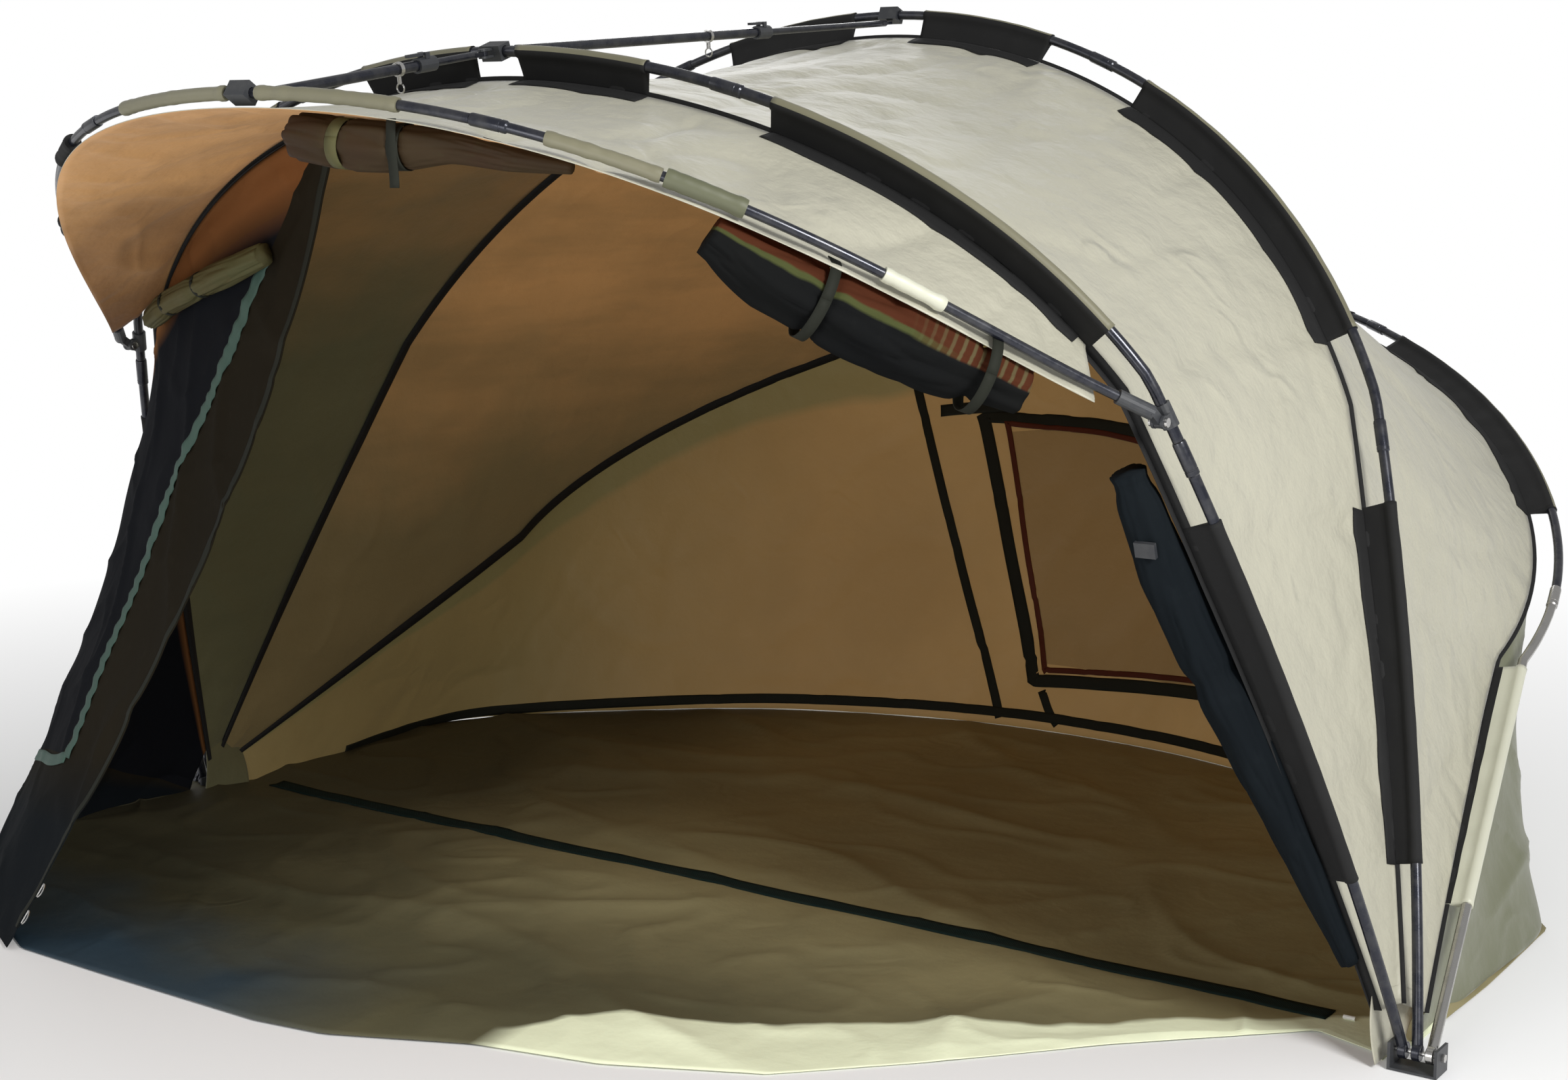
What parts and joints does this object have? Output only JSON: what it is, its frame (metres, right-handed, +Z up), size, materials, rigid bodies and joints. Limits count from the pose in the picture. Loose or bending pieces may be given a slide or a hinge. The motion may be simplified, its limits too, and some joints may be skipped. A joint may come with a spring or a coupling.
{
  "type": "bivvy tent",
  "caption": "Open-fronted bivvy tent: nested folding ribs on ground-level side pivots, a hinged front hoop, telescopic ridge bars, fabric canopy, side panel and groundsheet.",
  "frame": {"origin": "on the ground, midway between the two side pivots", "axes": "+X to the right as seen facing into the open front, +Y to the rear, +Z up"},
  "size_m": [3.0996, 3.3727, 1.8073],
  "materials": {
    "dark_pole": "dark navy, glossy",
    "bare_pole": "bare, bright",
    "bright_steel": "plated",
    "moulded_plastic": "satin black",
    "pale_plastic": "satin",
    "canopy_fabric": "coated nylon, khaki grey outside",
    "trim_fabric": "charcoal woven nylon",
    "panel_fabric": "dark coated nylon",
    "rolled_fabric": "olive coated nylon, rolled",
    "floor_sheet": "heavy coated sheet, olive brown",
    "webbing": "woven dark green webbing"
  },
  "bodies": {
    "ground": {"groundsheet": "floor_sheet", "floor_strap": "webbing", "strap_toggle": "pale_plastic", "pivot_shoe_right": "moulded_plastic", "pivot_shoe_left": "moulded_plastic", "pivot_bolt_right": "bright_steel", "pivot_bolt_left": "bright_steel", "rear_wall": "canopy_fabric"},
    "rear_rib": {"rear_rib_leg_right": "bare_pole", "rear_rib_leg_left": "bare_pole", "rear_rib_arch_right": "dark_pole", "rear_rib_arch_left": "dark_pole", "rear_rib_crown": "dark_pole", "rear_rib_wing": "trim_fabric", "canopy_rear": "canopy_fabric"},
    "middle_rib": {"middle_rib_leg_right": "dark_pole", "middle_rib_leg_left": "dark_pole", "middle_rib_arch_right": "dark_pole", "middle_rib_arch_left": "dark_pole", "middle_rib_crown": "dark_pole", "middle_rib_wing": "trim_fabric", "middle_crown_block": "moulded_plastic", "canopy_front": "canopy_fabric"},
    "front_rib": {"front_rib_leg_right": "dark_pole", "front_rib_leg_left": "dark_pole", "front_rib_arch_right": "dark_pole", "front_rib_arch_left": "dark_pole", "front_rib_crown": "dark_pole", "front_rib_wing": "trim_fabric", "front_crown_block": "moulded_plastic", "swivel_clamp_right": "moulded_plastic", "swivel_clamp_left": "moulded_plastic", "swivel_bolt_right": "bright_steel", "swivel_bolt_left": "bright_steel", "canopy_peak": "canopy_fabric", "left_front_panel": "panel_fabric", "side_roll": "trim_fabric", "window_roll": "trim_fabric", "door_buckle": "moulded_plastic"},
    "hoop": {"hoop_side_right": "dark_pole", "hoop_side_left": "dark_pole", "hoop_front": "dark_pole", "hoop_cup_right": "moulded_plastic", "hoop_cup_left": "moulded_plastic", "hoop_crown_block": "moulded_plastic", "door_roll": "rolled_fabric", "crown_roll": "rolled_fabric"},
    "peak_bar": {"peak_bar_rod": "dark_pole"},
    "peak_bar_end": {"peak_bar_sleeve": "dark_pole", "peak_bar_collar": "moulded_plastic"},
    "peak_bar_lever": {"peak_bar_lever": "moulded_plastic"},
    "peak_bar_hook": {"peak_bar_hook": "bright_steel"},
    "main_bar": {"main_bar_sleeve": "dark_pole", "main_bar_collar": "moulded_plastic"},
    "main_bar_end": {"main_bar_rod": "dark_pole"},
    "main_bar_lever": {"main_bar_lever": "moulded_plastic"},
    "main_bar_hook": {"main_bar_hook": "bright_steel"},
    "panel_zip_slider": {"panel_zip_slider": "bright_steel"},
    "corner_ring_upper": {"corner_ring_upper": "bright_steel"},
    "corner_ring_lower": {"corner_ring_lower": "bright_steel"}
  },
  "joints": [
    {"name": "rear_rib_hinge", "type": "hinge", "parent": "ground", "child": "rear_rib", "pos_m": [0, 0, 0.03], "axis": [-1, 0, 0], "range_deg": [0, 20], "deforming": ["rear_wall"]},
    {"name": "middle_rib_hinge", "type": "hinge", "parent": "rear_rib", "child": "middle_rib", "pos_m": [0, 0, 0.03], "axis": [-1, 0, 0], "range_deg": [0, 39], "deforming": ["canopy_rear"]},
    {"name": "front_rib_hinge", "type": "hinge", "parent": "middle_rib", "child": "front_rib", "pos_m": [0, 0, 0.03], "axis": [-1, 0, 0], "range_deg": [0, 38], "deforming": ["canopy_front", "left_front_panel"]},
    {"name": "hoop_hinge", "type": "hinge", "parent": "front_rib", "child": "hoop", "pos_m": [0, -0.38646, 1.11732], "axis": [-1, 0, 0], "range_deg": [0, 36], "deforming": ["canopy_peak"]},
    {"name": "peak_bar_swing", "type": "hinge", "parent": "front_rib", "child": "peak_bar", "pos_m": [0, -0.58408, 1.69284], "axis": [0, -0.1318, 0.9913], "range_deg": [0, 85]},
    {"name": "peak_bar_slide", "type": "slide", "parent": "peak_bar", "child": "peak_bar_end", "axis": [0, 0.9913, 0.1318], "range_m": [0, 0.095]},
    {"name": "peak_bar_lever_hinge", "type": "hinge", "parent": "peak_bar_end", "child": "peak_bar_lever", "pos_m": [0, -0.73112, 1.69094], "axis": [-1, 0, 0], "range_deg": [0, 110]},
    {"name": "peak_bar_hook_hinge", "type": "hinge", "parent": "peak_bar_end", "child": "peak_bar_hook", "pos_m": [0, -0.79225, 1.66516], "axis": [0, -0.9913, -0.1318], "range_deg": [-60, 60]},
    {"name": "main_bar_swing", "type": "hinge", "parent": "front_rib", "child": "main_bar", "pos_m": [0, -0.51843, 1.69918], "axis": [0, -0.0602, 0.9982], "range_deg": [0, 75]},
    {"name": "main_bar_slide", "type": "slide", "parent": "main_bar", "child": "main_bar_end", "axis": [0, -0.9982, -0.0602], "range_m": [0, 0.35]},
    {"name": "main_bar_lever_hinge", "type": "hinge", "parent": "main_bar", "child": "main_bar_lever", "pos_m": [0, 0.23814, 1.76232], "axis": [-1, 0, 0], "range_deg": [0, 110]},
    {"name": "main_bar_hook_hinge", "type": "hinge", "parent": "main_bar", "child": "main_bar_hook", "pos_m": [0, 0.06052, 1.73408], "axis": [0, 0.9982, 0.0602], "range_deg": [-60, 60]},
    {"name": "panel_zip_slide", "type": "slide", "parent": "front_rib", "child": "panel_zip_slider", "axis": [0.5077, 0.1313, 0.8515], "range_m": [0, 0.9]},
    {"name": "corner_ring_upper_hinge", "type": "hinge", "parent": "front_rib", "child": "corner_ring_upper", "pos_m": [-0.93972, -0.88959, 0.11075], "axis": [-0.265, -0.4712, -0.8413], "range_deg": [-50, 50]},
    {"name": "corner_ring_lower_hinge", "type": "hinge", "parent": "front_rib", "child": "corner_ring_lower", "pos_m": [-0.95527, -0.91768, 0.06129], "axis": [-0.2616, -0.4819, -0.8363], "range_deg": [-50, 50]}
  ]
}
